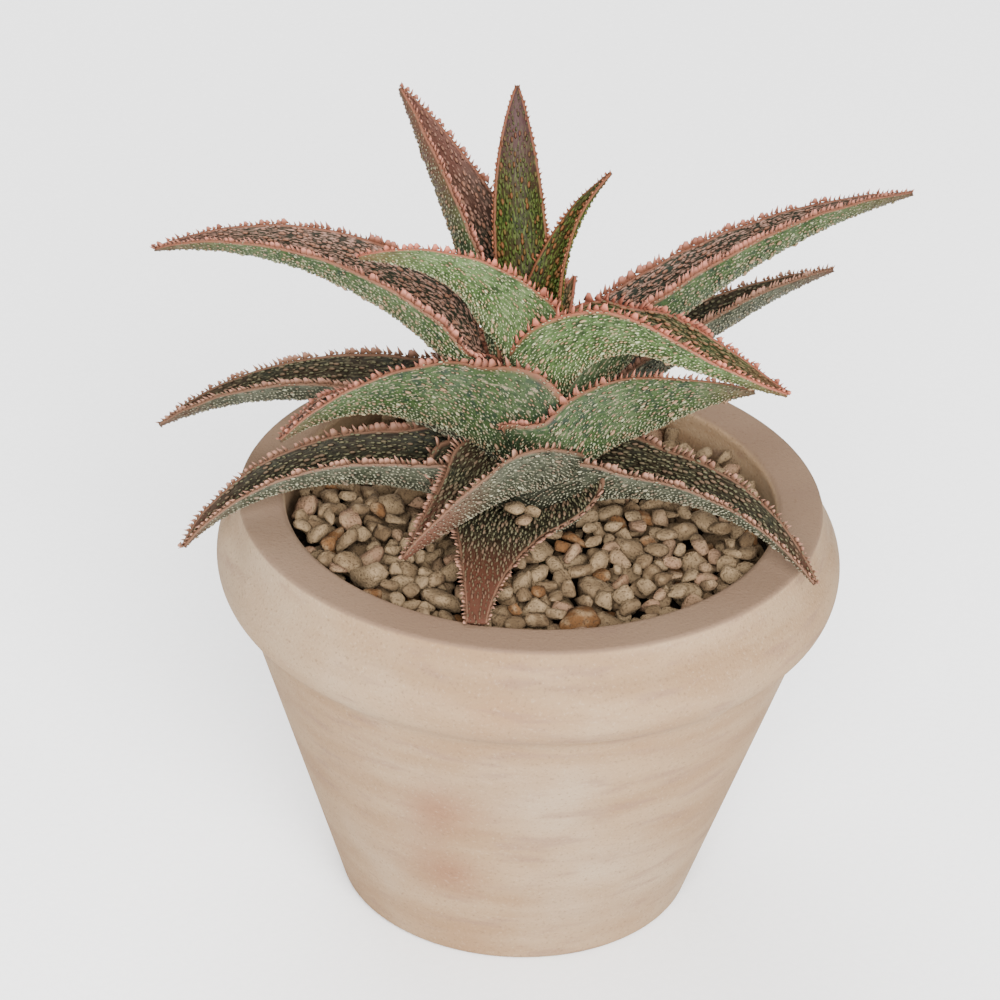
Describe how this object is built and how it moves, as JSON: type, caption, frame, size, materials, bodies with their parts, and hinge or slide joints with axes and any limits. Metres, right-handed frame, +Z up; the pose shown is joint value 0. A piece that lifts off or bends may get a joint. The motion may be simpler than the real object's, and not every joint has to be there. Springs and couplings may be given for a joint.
{
  "type": "potted aloe",
  "caption": "Rosette of channelled aloe leaves with toothed pink margins, on a short stem in pumice gravel over soil, in a round terracotta pot with a rounded collar.",
  "frame": {"origin": "centre of the pot's flat base, on the surface that it stands on", "axes": "+Z up along the pot's axis, -Y towards the viewer of the picture, +X to the viewer's right"},
  "size_m": [0.1835, 0.15, 0.2021],
  "materials": {
    "terracotta": "matte",
    "soil": "matte",
    "pumice": "matte",
    "stem": "satin",
    "leaf_old": "satin",
    "leaf_green": "satin",
    "leaf_young": "satin"
  },
  "bodies": {
    "root": {"pot": "terracotta", "soil": "soil", "gravel": "pumice", "grains_on_leaf": "pumice", "stem": "stem", "leaf_front": "leaf_old", "leaf_back_low": "leaf_old", "leaf_low_left": "leaf_old", "leaf_low_right": "leaf_old", "leaf_back_left": "leaf_old", "leaf_front_left": "leaf_old", "leaf_far_left": "leaf_old", "leaf_right_back": "leaf_old", "leaf_right": "leaf_green", "leaf_left": "leaf_green", "leaf_back": "leaf_green", "leaf_long_right": "leaf_green", "leaf_long_left": "leaf_green", "leaf_upright_left": "leaf_green", "leaf_inner_right": "leaf_green", "leaf_inner_left": "leaf_green", "leaf_upright": "leaf_young", "leaf_young": "leaf_young", "leaf_youngest": "leaf_young"}
  },
  "joints": []
}
